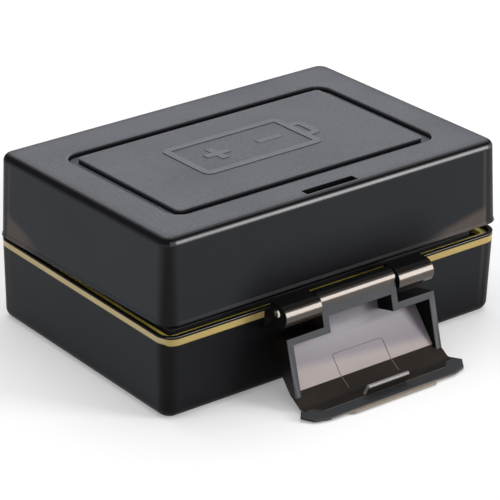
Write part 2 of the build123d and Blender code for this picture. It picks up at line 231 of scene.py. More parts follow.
def looked_at(tree):
    """1 for what the camera sees, straight or by reflection, and 0 for the light that a surface gets."""
    path = add_node(tree, "ShaderNodeLightPath").outputs
    seen = calc(tree, "MAXIMUM", path["Is Camera Ray"], path["Is Glossy Ray"])
    return calc(tree, "MAXIMUM", seen, path["Is Transmission Ray"])


def make_floor():
    data = bpy.data.meshes.new("floor")
    corners = [(x * floor_half, y * floor_half, 0) for x, y in ((-1, -1), (1, -1), (1, 1), (-1, 1))]
    data.from_pydata(corners, [], [(0, 1, 2, 3)])
    floor = bpy.data.objects.new("floor", data)
    scene.collection.objects.link(floor)
    finish, tree, shader, place = new_finish(
        "floor_paper", Roughness=0.9, Specular_IOR_Level=0.1, Emission_Color=white,
    )
    tooth = noise(tree, place["Object"], floor_tooth)
    put(tree, shader.inputs["Base Color"], blend(tree, tooth, *floor_tones))
    put(tree, shader.inputs["Emission Strength"], multiply(tree, looked_at(tree), floor_lift))
    data.materials.append(finish)


def make_world():
    world = bpy.data.worlds.new("studio")
    world.use_nodes = True
    tree = world.node_tree
    back = tree.nodes["Background"]
    back.inputs["Color"].default_value = white
    put(tree, back.inputs["Strength"], ramp(tree, looked_at(tree), world_light, world_seen))
    scene.world = world


def add_lamp(name, place, width, height, power):
    data = bpy.data.lights.new(name, "AREA")
    data.shape = "RECTANGLE"
    data.size = width
    data.size_y = height
    data.energy = power
    lamp = bpy.data.objects.new(name, data)
    lamp.location = place
    lamp.rotation_euler = (lamp_aim - Vector(place)).to_track_quat("-Z", "Y").to_euler()
    scene.collection.objects.link(lamp)


make_floor()
make_world()
for lamp_values in lamps:
    add_lamp(*lamp_values)
print("stage: floor, world and", len(lamps), "soft lamps")

# %% [markdown]
# ## Softer moulded edges
# Moulded plastic has no knife edges: even a crisp corner is rounded by a tenth of a millimetre or two,
# and that is what catches the light. A Bevel modifier could do it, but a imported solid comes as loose
# triangles, which a bevel tears apart. So each shell is copied, its points are merged, its flat triangles
# are joined into whole faces, and only then are its sharp edges rounded. The copy stands in for the plain
# solid. The latch's panel bends gently, so shallow creases are smoothed there and kept crisp elsewhere.

# %% Copy a solid and round its sharp edges
merge_distance = 0.002 * MM
flat_degrees = 0.4
sharp_degrees = 38


def stand_in(made, node, body):
    """A new piece rides its body in place of the solid, which is hidden."""
    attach(made, body)
    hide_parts(node)


def soften(node, name, body, width, crease_degrees=17):
    """A copy that stands in for a CAD node, with its sharp edges rounded and other creases kept."""
    data = frame["nodes"][node].data.copy()
    data.name = name
    data.materials.clear()
    mesh = bmesh.new()
    mesh.from_mesh(data)
    bmesh.ops.remove_doubles(mesh, verts=mesh.verts, dist=merge_distance)
    bmesh.ops.dissolve_limit(
        mesh, angle_limit=math.radians(flat_degrees), verts=mesh.verts, edges=mesh.edges,
        use_dissolve_boundaries=False,
    )
    sharp = []
    for edge in mesh.edges:
        bend = math.degrees(edge.calc_face_angle(0))
        if bend > sharp_degrees and edge.is_convex:
            sharp.append(edge)
        elif bend > crease_degrees:
            edge.smooth = False
    bmesh.ops.bevel(
        mesh, geom=sharp, offset=width, offset_type="OFFSET", segments=2, profile=0.6, affect="EDGES",
        clamp_overlap=False, loop_slide=True, material=-1,
    )
    bmesh.ops.remove_doubles(mesh, verts=mesh.verts, dist=merge_distance)
    for face in mesh.faces:
        face.smooth = True
    mesh.to_mesh(data)
    mesh.free()
    made = bpy.data.objects.new(name, data)
    scene.collection.objects.link(made)
    weigh = made.modifiers.new("flat_faces_first", "WEIGHTED_NORMAL")
    weigh.keep_sharp = True
    weigh.weight = 100
    print(name, "edges rounded", len(sharp), "faces", len(data.polygons))
    stand_in(made, node, body)
    return made


base = soften("base_shell", "base", "base", 0.16 * MM)
lid = soften("lid_shell", "lid", "lid", 0.14 * MM)
latch = soften("latch_flap", "latch", "latch", 0.18 * MM, crease_degrees=36)
battery_tray = soften("battery_tray", "pocket_tray", "base", 0.16 * MM)
card_tray = soften("card_tray", "card_holder", "lid", 0.16 * MM)

# %% [markdown]
# ## Smoky shell plastic
# Both shells are moulded in one dark, slightly see-through plastic. The lid's flat top carries a fine matte
# grain and is painted much lighter than the walls, and the side walls are painted lighter than the front
# and back: painted light, for how the lamps fall on one plastic. The walls are nearly black, with painted
# shade in the corners and on the roof's rounded edge, and only the front of that edge is glossy, so that
# the lamp's highlight shows there alone. Light lines along the rim and the moat are painted highlights.
# The specular level is one plain value for a whole material here, so each shell gets several, and the
# direction and place of every face choose one. Within a finish, colour is painted by place: the distance
# to a rounded rectangle tells how far out on the case a point lies and whether it is at a corner.

# %% Choose a finish for every face
# How far a face turns towards an axis, as the part of its normal that points along it
slightly, halfway, mostly, fully = 0.2, 0.5, 0.7, 0.9


def paint_faces(piece, finishes, zone_of, back=Matrix.Identity(4)):
    """Gives each face the finish that its place and direction choose, after they are turned back."""
    names = list(finishes)
    for finish in finishes.values():
        piece.data.materials.append(finish)
    turn_back = back.to_3x3()
    count = dict.fromkeys(names, 0)
    for face in piece.data.polygons:
        name = zone_of(back @ face.center, turn_back @ face.normal)
        face.material_index = names.index(name)
        count[name] += 1
    print(piece.name, "faces", count)


print("face painter ready")

# %% Grain, clouds and specks that all moulded finishes share
cloud_size, cloud_share = 22 * MM, 0.24
rubbed_size, grain_size, grain_strength = 14 * MM, 0.42 * MM, 0.35
speck_gap = 3.1 * MM
speck_span = (0.02, 0.05)
speck_share = 0.1
dusty_size = 9 * MM
dusty_span = (0.55, 0.7)
dust_grey = (0.3, 0.3, 0.31, 1)
patch_size, patch_light = 5 * MM, 1.25


def shade_of(colour, share):
    """A colour made darker or lighter by a share."""
    return [channel * share for channel in colour[:3]] + [1]


def moulded_detail(tree, shader, place, colour, smooth, rough, grain_depth=0.02 * MM, speckle=0.34):
    """Adds cloudy tone, rubbed patches, dust specks and moulded grain to a base colour."""
    spot = place["Object"]
    grain = noise(tree, spot, grain_size, 3)
    clouds = multiply(tree, noise(tree, spot, cloud_size, 4), cloud_share)
    tone = calc(tree, "ADD", clouds, multiply(tree, grain, speckle))
    tone = calc(tree, "ADD", tone, 1 - cloud_share / 2 - speckle / 2)
    toned = output(tree, "ShaderNodeVectorMath", {0: colour, "Scale": tone}, operation="SCALE")
    dust = output(tree, "ShaderNodeTexVoronoi", {"Vector": spot, "Scale": 1 / speck_gap})
    speck = opposite(tree, step(tree, dust, *speck_span))
    dusty = step(tree, noise(tree, spot, dusty_size), *dusty_span)
    toned = blend(tree, multiply(tree, speck, dusty, speck_share), toned, dust_grey)
    coat(tree, shader, toned, noise(tree, spot, rubbed_size, 5), smooth, rough)
    emboss(tree, shader, grain, grain_strength, grain_depth)


def plain_plastic(name, colour, specular, smooth, rough):
    """One colour of moulded plastic with the shared detail."""
    made, tree, shader, place = new_plastic(name, specular)
    patch = noise(tree, place["Object"], patch_size, 4)
    patchy = blend(tree, patch, colour, shade_of(colour, patch_light))
    moulded_detail(tree, shader, place, patchy, smooth, rough)
    return made


print("shell detail ready")

# %% Measures of a place on the case
half_length, half_width, case_corner = 50 * MM, 34.2 * MM, 4 * MM


def past_edges(tree, spot, inset=0.0):
    """How far a point lies past the case's straight edges drawn in by inset, along X and along Y."""
    halves = (("X", half_length), ("Y", half_width))
    return [calc(tree, "SUBTRACT", calc(tree, "ABSOLUTE", spot[axis]), half - inset) for axis, half in halves]


def past_core(tree, spot, inset=case_corner):
    """The same measures, with 0 inside the edges."""
    return [calc(tree, "MAXIMUM", past, 0.0) for past in past_edges(tree, spot, inset)]


def outside_core(centre):
    """How far a face's centre lies outside the case's outline drawn in by its corner radius."""
    past_x = max(abs(centre.x) - half_length + case_corner, 0)
    past_y = max(abs(centre.y) - half_width + case_corner, 0)
    return math.hypot(past_x, past_y)


print("case half sizes", half_length, half_width)

# %% Smoky walls, with painted light and shade: lighter sides, dark corners, brown light in two corners
# Painted light: one plastic in two greys, the side walls lighter than the front and back, as the lamps light
# them
front_grey = (0.0150, 0.0166, 0.0197, 1)
side_grey = (0.0235, 0.0265, 0.0320, 1)
# Painted shade: the rounded upright corners are painted near black
corner_black = (0.009, 0.0075, 0.007, 1)
# Painted light: brown light that falls through the plastic in two corners
corner_brown = (0.075, 0.055, 0.046, 1)
low_black = (0.003, 0.003, 0.004, 1)
SQUARE_MM = MM * MM
side_span = (0.6, 0.9)
corner_span = (0.1 * MM, 2.2 * MM)
crossing_span = (-1200 * SQUARE_MM, -900 * SQUARE_MM)
shine_limits = (-5.4 * MM, -4.5 * MM)
shine_soft = 0.5 * MM
shine_share = 0.55


def shell_wall(tree, place):
    """The colour of an upright wall, with painted light and shade, and measures of place and direction for
    more paint.
    """
    spot = split(tree, place["Object"])
    facing = split(tree, place["Normal"])
    past_x, past_y = past_core(tree, spot)
    at_corner = step(tree, calc(tree, "MINIMUM", past_x, past_y), *corner_span)
    on_side = step(tree, calc(tree, "ABSOLUTE", facing["X"]), *side_span)
    area = multiply(tree, spot["X"], spot["Y"])
    crossing = opposite(tree, step(tree, area, *crossing_span))
    colour = blend(tree, on_side, front_grey, side_grey)
    colour = blend(tree, multiply(tree, at_corner, opposite(tree, crossing)), colour, corner_black)
    inward = blend(tree, on_side, *past_edges(tree, spot))
    lit, past_lit = (soft_edge(tree, inward, limit, shine_soft) for limit in shine_limits)
    shine = multiply(tree, calc(tree, "SUBTRACT", lit, past_lit), crossing, shine_share)
    colour = blend(tree, shine, colour, corner_brown)
    return SimpleNamespace(
        colour=colour, spot=spot, facing=facing, on_side=on_side, inward=inward, area=area,
        front=multiply(tree, facing["Y"], -1.0), out=diagonal(tree, past_x, past_y),
    )


print("wall colour ready")

# %% Finishes of the base, with the seal's band shining through the rim
band_tan = (0.56, 0.46, 0.25, 1)
band_gold = (0.48, 0.36, 0.13, 1)
band_brown = (0.30, 0.22, 0.09, 1)
# Each of these four pairs holds a value for the front and back walls, then one for the sides
band_foot = (19.05 * MM, 19.45 * MM)
band_head = (20.7 * MM, 20.85 * MM)
shade_foot = (0.0, -8 * MM)
least_shade = (0.22, 0.42)
foot_soft, head_soft, band_share = 0.16 * MM, 0.1 * MM, 0.97
streak_size, streak_share = 7 * MM, 0.35
shade_head, shade_share = 20 * MM, 0.9
left_span = (-half_length, -22 * MM)
left_shades = (0.6, 1.0)
right_span = (20 * MM, 30 * MM)
front_span = (0.4, 0.8)
upright_span = (0.25, 0.5)
outside_span = (3.5 * MM, 3.6 * MM)
rim_height, floor_height = 20.9 * MM, 3 * MM
base_wall_inside = 2.9 * MM
lug_start = half_width + 0.6 * MM


def base_wall_finish():
    """Painted shade, darker below and by the latch, with a band of the seal's colour under the rim."""
    made, tree, shader, place = new_plastic("base_wall", 0.09)
    wall = shell_wall(tree, place)
    height, along = wall.spot["Z"], wall.spot["X"]
    # Painted shade: darker towards the bottom and beside the latch, and never less than a set share
    low = opposite(tree, step(tree, height, ramp(tree, wall.on_side, *shade_foot), shade_head))
    by_latch = multiply(
        tree, opposite(tree, step(tree, along, *right_span)), ramp(tree, along, *left_shades, *left_span),
        opposite(tree, wall.on_side), step(tree, wall.front, *front_span),
    )
    shade = calc(tree, "MAXIMUM", multiply(tree, low, shade_share), by_latch)
    shade = calc(tree, "MAXIMUM", shade, ramp(tree, wall.on_side, *least_shade))
    colour = blend(tree, shade, wall.colour, low_black)
    over_foot = calc(tree, "SUBTRACT", height, ramp(tree, wall.on_side, *band_foot))
    over_head = calc(tree, "SUBTRACT", height, ramp(tree, wall.on_side, *band_head))
    above = soft_edge(tree, over_foot, 0.0, foot_soft)
    past = soft_edge(tree, over_head, 0.0, head_soft)
    upright = opposite(tree, step(tree, calc(tree, "ABSOLUTE", wall.facing["Z"]), *upright_span))
    outside = step(tree, wall.out, *outside_span)
    band = multiply(tree, calc(tree, "SUBTRACT", above, past), upright, outside, band_share)
    streak = multiply(tree, noise(tree, place["Object"], streak_size, 3), streak_share)
    band_colour = blend(tree, streak, blend(tree, wall.on_side, band_gold, band_tan), band_brown)
    colour = blend(tree, band, colour, band_colour)
    colour = blend(tree, multiply(tree, past, upright), colour, low_black)
    moulded_detail(tree, shader, place, colour, 0.34, 0.5)
    return made


def brown_gloss(name, colour, specular):
    """Dark brown plastic, rubbed to a shine, on everything that turns round a pin."""
    made = plain_plastic(name, colour, specular, 0.14, 0.24)
    made.node_tree.nodes["Principled BSDF"].inputs["Specular Tint"].default_value = (1.0, 0.88, 0.80, 1)
    return made


# Painted reflection: one brown plastic in three copies, darker and less glossy for faces that turn upwards
shine_finishes = {
    "lug": brown_gloss("lug_gloss", (0.020, 0.015, 0.012, 1), 0.85),
    "lug fade": brown_gloss("lug_fade", (0.010, 0.008, 0.007, 1), 0.40),
    "lug top": brown_gloss("lug_top", (0.004, 0.004, 0.004, 1), 0.08),
}
shine_gone, shine_fading = 0.75, 0.62
# Painted shade: black for faces that lie in shade, such as insides, gaps, lug ends and the sides of relief
painted_shade_black = plain_plastic("painted_shade_black", (0.004, 0.004, 0.004, 1), 0.06, 0.45, 0.6)
base_finishes = {
    "wall": base_wall_finish(),
    # Painted highlight: the rounded edges of the base's rim are painted light grey
    "rim edge": plain_plastic("rim_edge", (0.10, 0.095, 0.09, 1), 0.5, 0.2, 0.35),
    "groove": painted_shade_black,
    **shine_finishes,
}


def shine_zone(upward):
    """Painted reflection: lugs and barrels mirror the dark shell beside them on top, so faces that turn
    upwards get darker, less glossy copies and their shine fades upwards.
    """
    if upward > shine_gone:
        return "lug top"
    return "lug fade" if upward > shine_fading else "lug"


def base_zone(centre, facing):
    """The zone of a face of the base: black painted shade on the lug ends, the rim's top and outer ends and
    the inside walls, and a painted highlight on the rim's other rounded edges.
    """
    if abs(centre.y) > lug_start:
        return shine_zone(facing.z) if abs(facing.x) < mostly else "groove"
    if centre.z > rim_height and facing.z > slightly:
        outer_side = abs(facing.x) > abs(facing.y) and facing.x * centre.x > 0
        return "groove" if facing.z > fully or outer_side else "rim edge"
    inside = outside_core(centre) < base_wall_inside
    return "groove" if inside and centre.z > floor_height else "wall"


paint_faces(base, base_finishes, base_zone)

# %% Finishes of the lid's walls, top and rounded shoulder
# Painted light: the top is painted much lighter than the walls, as the lamps light it, and darker towards its
# edge
top_grey = (0.121, 0.126, 0.145, 1)
top_dark = (0.060, 0.060, 0.065, 1)
# Painted light: brown light that falls through the plastic low in two corners of the lid
painted_glow_brown = (0.12, 0.092, 0.08, 1)
# Painted shade: black in the middle of the roof's rounded shoulder
shoulder_black = (0.005, 0.005, 0.006, 1)
moat_grey = (0.075, 0.076, 0.082, 1)
lid_top, lid_ajar = 42.5 * MM, math.radians(-1.9)
glow_heights = (28.4 * MM, 24.2 * MM)
glow_areas = (-1500 * SQUARE_MM, -750 * SQUARE_MM)
glow_fade = (-1200 * SQUARE_MM, -750 * SQUARE_MM)
glow_rim = (-4.9 * MM, -4.3 * MM)
glow_soft, glow_share = 1.2 * MM, 0.55
latch_reach, latch_line = 20 * MM, 23 * MM
dim_span = (2 * MM, 14 * MM)
dim_front = (0.15, 0.5)
dim_share = 0.95
roof_shift, roof_inset = -0.65 * MM, 6 * MM
border_span = (1.6 * MM, 3.9 * MM)
border_share = 0.5
worn_size = 26 * MM
worn_span = (0.35, 0.7)
worn_shade = 0.88
shoulder_side = (0.2, 0.6)
shoulder_top = (0.5, 0.9)
dark_start = (0.2, 0.5)
dark_end = (0.84, 0.98)
moat_span = (lid_top - 1.0 * MM, lid_top + 0.1 * MM)


def lid_wall_finish():
    """Painted light in brown low in two corners, and painted shade in a dark part round the latch."""
    made, tree, shader, place = new_plastic("lid_wall", 0.09)
    wall = shell_wall(tree, place)
    height = wall.spot["Z"]
    under_top = calc(tree, "SUBTRACT", ramp(tree, wall.area, *glow_heights, *glow_areas), height)
    glow = multiply(
        tree, soft_edge(tree, under_top, 0.0, glow_soft), opposite(tree, step(tree, wall.area, *glow_fade)),
        opposite(tree, step(tree, wall.inward, *glow_rim)), glow_share,
    )
    colour = blend(tree, glow, wall.colour, painted_glow_brown)
    # Painted shade: darker round the latch
    beside = calc(tree, "SUBTRACT", calc(tree, "ABSOLUTE", wall.spot["X"]), latch_reach)
    beside = calc(tree, "MAXIMUM", beside, 0.0)
    from_latch = diagonal(tree, beside, calc(tree, "SUBTRACT", height, latch_line))
    dim = opposite(tree, step(tree, from_latch, *dim_span))
    dim = multiply(tree, dim, step(tree, wall.front, *dim_front), dim_share)
    moulded_detail(tree, shader, place, blend(tree, dim, colour, low_black), 0.34, 0.5)
    return made


def lid_top_finish():
    """Grained grey, painted lighter than the walls as the lamps light it, worn in patches, and painted darker
    towards the edge of the roof as shade.
    """
    made, tree, shader, place = new_plastic("lid_top", 0.2)
    shift = {0: place["Object"], 1: (0, roof_shift, 0)}
    centred = split(tree, output(tree, "ShaderNodeVectorMath", shift, operation="ADD"))
    out = diagonal(tree, *past_core(tree, centred, roof_inset))
    worn = step(tree, noise(tree, place["Object"], worn_size, 3), *worn_span)
    colour = blend(tree, worn, top_grey, shade_of(top_grey, worn_shade))
    # Painted shade: darker towards the edge of the roof
    border = multiply(tree, step(tree, out, *border_span), border_share)
    colour = blend(tree, border, colour, top_dark)
    moulded_detail(tree, shader, place, colour, 0.42, 0.6, grain_depth=0.05 * MM, speckle=1.1)
    return made


def shoulder_finish():
    """Painted shade: black in the middle of the roof's rounding, fading to the tones of the top and of the
    walls.
    """
    made, tree, shader, place = new_plastic("lid_shoulder", 0.03)
    facing = split(tree, place["Normal"])
    on_side = step(tree, calc(tree, "ABSOLUTE", facing["X"]), *shoulder_side)
    wall = blend(tree, on_side, front_grey, side_grey)
    ends = blend(tree, step(tree, facing["Z"], *shoulder_top), wall, top_dark)
    darkened, past_dark = (step(tree, facing["Z"], *span) for span in (dark_start, dark_end))
    dark = calc(tree, "SUBTRACT", darkened, past_dark)
    moulded_detail(tree, shader, place, blend(tree, dark, ends, shoulder_black), 0.5, 0.65)
    return made


def moat_wall_finish():
    """Grey where light reaches the top of the moat's walls, black further down."""
    made, tree, shader, place = new_plastic("moat_wall", 0.1)
    height = turned_back(tree, place["Object"], "lid_hinge", -lid_ajar)["Z"]
    lit = step(tree, height, *moat_span)
    moulded_detail(tree, shader, place, blend(tree, lit, low_black, moat_grey), 0.45, 0.6)
    return made


lid_finishes = {
    "wall": lid_wall_finish(),
    "top": lid_top_finish(),
    # Painted highlight: only the front of the roof's rounded edge gets these glossy copies, so the lamp shows
    # there alone
    "edge": plain_plastic("lid_edge", (0.012, 0.012, 0.013, 1), 0.60, 0.26, 0.36),
    "edge fade": plain_plastic("lid_edge_fade", (0.011, 0.011, 0.012, 1), 0.25, 0.3, 0.42),
    "shoulder": shoulder_finish(),
    "moat wall": moat_wall_finish(),
    # Painted highlight: the rounded edges of the plateau and moat that face back or right are painted light
    # grey
    "moat edge": plain_plastic("moat_edge", (0.19, 0.192, 0.21, 1), 0.2, 0.4, 0.55),
    "tongue": plain_plastic("lid_tongue", (0.048, 0.034, 0.025, 1), 0.2, 0.35, 0.5),
    "groove": painted_shade_black,
    **shine_finishes,
}
print("lid finishes", list(lid_finishes))

# %% Choose a finish for every face of the lid
roof_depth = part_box("lid_shell")[1].z - 8 * MM
roof_rim = 4 * MM
flat_up, shoulder_up, edge_high, edge_low, wall_up = 0.985, 0.66, 0.54, 0.22, 0.1
front_share = 0.85
slot_half_length, slot_back = 9 * MM, -27 * MM
tongue_top, tongue_inside = 25 * MM, 2.2 * MM


def roof_zone(centre, facing):
    """The zone of a face in the middle of the roof: the plateau's edge, painted light where it faces back or
    right as a highlight, its moat, or the latch slot and overhangs in black painted shade.
    """
    if facing.z > halfway:
        return "moat edge" if max(facing.x, facing.y) > slightly else "top"
    in_slot = abs(centre.x) < slot_half_length and centre.y < slot_back
    return "groove" if in_slot or facing.z < -slightly else "moat wall"


def lid_zone(centre, facing):
    """The zone of a face of the lid."""
    if centre.y > lug_start:
        return shine_zone(facing.z)
    at_roof = centre.z > roof_depth
    if at_roof and facing.z > flat_up:
        return "top"
    amid = abs(centre.x) < half_length - roof_rim and abs(centre.y) < half_width - roof_rim
    if amid and at_roof:
        return roof_zone(centre, facing)
    if centre.z < tongue_top and outside_core(centre) < tongue_inside:
        return "tongue"
    # Painted shade: the lid's inside and faces that turn down get the black finish
    if amid or facing.z < -mostly:
        return "groove"
    if facing.z < wall_up or not at_roof:
        return "wall"
    # Painted shade on the rounding's top and sides, and a painted highlight where it faces the front, low
    # down
    if facing.z > shoulder_up or facing.y > -front_share * math.hypot(facing.x, facing.y):
        return "shoulder"
    return "edge" if edge_low < facing.z < edge_high else "edge fade"


paint_faces(lid, lid_finishes, lid_zone)

# %% [markdown]
# ## The seal
# A soft yellow ring lies in a groove along the base's rim. Its shape follows a rule, one rounded section
# carried along a rounded rectangle, so Geometry Nodes sweep it: the path and the section are both curve
# primitives with filleted corners, and the tree's inputs are the sizes a seal maker would ask for.

# %% Helpers for geometry trees
def new_tree(name, sizes):
    """A geometry tree with one float input per named size."""
    tree = bpy.data.node_groups.new(name, "GeometryNodeTree")
    tree.interface.new_socket("Geometry", in_out="INPUT", socket_type="NodeSocketGeometry")
    for size in sizes:
        tree.interface.new_socket(size, in_out="INPUT", socket_type="NodeSocketFloat")
    tree.interface.new_socket("Geometry", in_out="OUTPUT", socket_type="NodeSocketGeometry")
    return tree, tree.nodes.new("NodeGroupInput").outputs, tree.nodes.new("NodeGroupOutput")


def close_tree(tree, result, geometry, finish, smooth=True):
    """Ends a tree: real geometry, shaded smooth where asked, in its finish."""
    whole = output(tree, "GeometryNodeRealizeInstances", {0: geometry})
    shaded = output(tree, "GeometryNodeSetShadeSmooth", {"Geometry": whole, "Shade Smooth": smooth})
    painted = output(tree, "GeometryNodeSetMaterial", {"Geometry": shaded, "Material": finish})
    tree.links.new(painted, result.inputs[0])


def join_axes(tree, **axes):
    """A vector from its X, Y and Z, with 0 for an axis that isn't given."""
    return output(tree, "ShaderNodeCombineXYZ", axes)


def transform(tree, geometry, **change):
    """Geometry that is moved by a Translation or stretched by a Scale."""
    return output(tree, "GeometryNodeTransform", {"Geometry": geometry, **change})


def rectangle(tree, width, height):
    return output(tree, "GeometryNodeCurvePrimitiveQuadrilateral", {"Width": width, "Height": height})


def rounded(tree, curve, radius, count, limit=False):
    """A curve with its corners rounded, in count steps each."""
    corners = {"Curve": curve, "Radius": radius, "Limit Radius": limit, "Count": count}
    return output(tree, "GeometryNodeFilletCurve", corners, mode="POLY")


def sweep(tree, path, section, caps):
    """A section carried along a path, with its ends closed where asked."""
    run = {"Curve": path, "Profile Curve": section, "Fill Caps": caps}
    return output(tree, "GeometryNodeCurveToMesh", run)


def bake(name, tree, values, data=None):
    """Runs a geometry tree with these input values and returns its result as a plain mesh object."""
    holder = bpy.data.objects.new(name + "_holder", data or bpy.data.meshes.new(name + "_holder"))
    scene.collection.objects.link(holder)
    modifier = holder.modifiers.new("grow", "NODES")
    modifier.node_group = tree
    for item in tree.interface.items_tree:
        if item.in_out == "INPUT" and item.name in values:
            modifier[item.identifier] = values[item.name]
    ready = holder.evaluated_get(bpy.context.evaluated_depsgraph_get())
    baked = bpy.data.meshes.new_from_object(ready)
    baked.name = name
    holder.modifiers.remove(modifier)
    bpy.data.objects.remove(holder)
    made = bpy.data.objects.new(name, baked)
    scene.collection.objects.link(made)
    print(name, "faces", len(baked.polygons), "size mm", [round(v / MM, 2) for v in made.dimensions])
    return made


print("geometry helpers ready")

# %% Sweep the seal with Geometry Nodes
seal_tones = ((0.90, 0.70, 0.10, 1), (0.98, 0.84, 0.22, 1))
seal_width = 2.2 * MM
path_steps, section_steps = 14, 7
seal_low, seal_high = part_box("seal_ring")
seal_size = {
    "Path length": seal_high.x - seal_low.x - seal_width,
    "Path width": seal_high.y - seal_low.y - seal_width,
    "Path corner": 1.85 * MM,
    "Section width": seal_width,
    "Section height": seal_high.z - seal_low.z,
    "Section round": 0.5 * MM,
    "Height": (seal_high.z + seal_low.z) / 2,
}


def rubber_finish():
    """Cloudy yellow rubber with a fine skin."""
    made, tree, shader, place = new_plastic("seal_yellow", 0.5, ior=1.45)
    cloud = noise(tree, place["Object"], 8 * MM, 4)
    coat(tree, shader, blend(tree, cloud, *seal_tones), cloud, 0.22, 0.36)
    emboss(tree, shader, noise(tree, place["Object"], 0.5 * MM, 2), 0.15, 0.02 * MM)
    return made


def ring_tree(finish):
    """A rounded section swept round a rounded rectangle."""
    tree, size, result = new_tree("seal_sweep", seal_size)
    path = rectangle(tree, size["Path length"], size["Path width"])
    path = rounded(tree, path, size["Path corner"], path_steps)
    section = rectangle(tree, size["Section width"], size["Section height"])
    section = rounded(tree, section, size["Section round"], section_steps)
    swept = sweep(tree, path, section, caps=False)
    placed = transform(tree, swept, Translation=join_axes(tree, Z=size["Height"]))
    close_tree(tree, result, placed, finish)
    return tree


seal = bake("seal", ring_tree(rubber_finish()), seal_size)
stand_in(seal, "seal_ring", "base")

# %% [markdown]
# ## The latch
# The latch is moulded in smoky plastic too. Its thin panel lets the pale floor shine through, and that light
# is painted into its lilac grey, which looks like grey glass; its lip is brown, and its frame and rim are
# thick and dark. Faces turned away from its inside are painted near black, and the walls inside its neck
# black, as shade. One mesh takes several finishes: every face is turned back to the closed latch, where the
# panel, the lip and the barrel lie in simple places, and a few questions about its place and direction choose
# its finish.

# %% Turn points back to the closed latch
latch_open = math.radians(165)
latch_turn = Matrix.Translation(joints["latch_hinge"]) @ Matrix.Rotation(latch_open, 4, "X")
knee = Vector((0, -3.1, 9.9)) * MM
fold = Vector((0, 1.3, 18.9)) * MM
crease = Vector((0, 4.15, 21.75)) * MM
lip_end = Vector((0, 10.35, 24.0)) * MM
lip_length = (lip_end - crease).length
lip_along = (lip_end - crease).normalized()
lip_down = Vector((0, -lip_along.z, lip_along.y))
panel_run = (fold - knee).normalized()
panel_out = Vector((0, -panel_run.z, panel_run.y))
print("latch turned back about", joints["latch_hinge"])

# %% Finishes of the latch
panel_lilac = ((0.236, 0.210, 0.240, 1), (0.274, 0.246, 0.278, 1))
panel_clear = ((0.386, 0.328, 0.316, 1), (0.438, 0.378, 0.365, 1))
panel_neck = (0.126, 0.116, 0.136, 1)
floor_line, floor_slope, floor_soft = joints["latch_hinge"].z + 15.6 * MM, 0.077, 1.2 * MM
bend_line = joints["latch_hinge"].z + knee.z
neck_span = (bend_line - 1.5 * MM, bend_line + 1.0 * MM)


def glossy(name, dark, light, smooth, rough, specular=0.5):
    """A glossy plastic with cloudy tone and fine grain."""
    made, tree, shader, place = new_plastic(name, specular)
    cloud = noise(tree, place["Object"], 6 * MM, 4)
    grain = noise(tree, place["Object"], 0.25 * MM, 2)
    mixed = calc(tree, "ADD", multiply(tree, cloud, 0.7), multiply(tree, grain, 0.3))
    coat(tree, shader, blend(tree, mixed, dark, light), cloud, smooth, rough)
    emboss(tree, shader, grain, 0.15, 0.015 * MM)
    return made


def latch_panel_finish():
    """Lilac grey, with painted shade at the neck and painted light below the slanting line, where the floor
    shines through.
    """
    made, tree, shader, place = new_plastic("latch_panel", 0.4, ior=1.45)
    closed = turned_back(tree, place["Object"], "latch_hinge", -latch_open)
    slant = calc(tree, "SUBTRACT", closed["Z"], multiply(tree, closed["X"], floor_slope))
    pale = soft_edge(tree, slant, floor_line, floor_soft)
    neck = opposite(tree, step(tree, closed["Z"], *neck_span))
    cloud = noise(tree, place["Object"], 7 * MM, 4)
    colour = blend(tree, pale, blend(tree, cloud, *panel_lilac), blend(tree, cloud, *panel_clear))
    coat(tree, shader, blend(tree, neck, colour, panel_neck), cloud, 0.28, 0.42)
    emboss(tree, shader, noise(tree, place["Object"], 3 * MM, 3), 0.1, 0.03 * MM)
    return made


latch_finishes = {
    "frame": glossy("latch_frame", (0.034, 0.036, 0.040, 1), (0.053, 0.055, 0.061, 1), 0.34, 0.48, 0.2),
    "panel": latch_panel_finish(),
    "lip": glossy("latch_lip", (0.009, 0.006, 0.004, 1), (0.026, 0.018, 0.013, 1), 0.26, 0.40, 0.12),
    "deep": glossy("latch_lip_deep", (0.010, 0.008, 0.006, 1), (0.024, 0.019, 0.015, 1), 0.26, 0.40, 0.14),
    "rim": glossy("latch_rim", (0.028, 0.029, 0.032, 1), (0.046, 0.048, 0.052, 1), 0.34, 0.48, 0.2),
    **shine_finishes,
    # Painted highlight and shade: the ridge's top is pale grey, and below it the ridge takes the dark deep
    # finish
    "ridge": glossy("latch_ridge", (0.17, 0.155, 0.15, 1), (0.26, 0.24, 0.235, 1), 0.22, 0.34),
    "tab": glossy("latch_tab", (0.20, 0.165, 0.13, 1), (0.30, 0.25, 0.20, 1), 0.28, 0.42, 0.3),
    # Painted shade: the walls inside the neck are black
    "inner wall": painted_shade_black,
    # Painted shade: faces turned away from the latch's inside are near black
    "skin": glossy("latch_skin", (0.003, 0.003, 0.002, 1), (0.009, 0.007, 0.006, 1), 0.20, 0.32, 0.22),
}
print("latch finishes", list(latch_finishes))

# %% Choose a finish for every face of the latch
barrel_radius = 2.6 * MM
ridge_start, ridge_half_length, ridge_lift, ridge_top = 1.5 * MM, 6.4 * MM, 0.12 * MM, 1.9 * MM
panel_top, panel_half_width, panel_near = 3.6 * MM, 20.4 * MM, 0.3 * MM
hair = 0.05 * MM
tab_start = lip_length + 0.02 * MM
inward, well_inward = 0.3, 0.6


def panel_gap(centre):
    """How far a point stands off the panel's inner surface, which runs straight from knee to fold."""
    return abs((centre - knee).dot(panel_out)) if centre.z > knee.z else 0.0


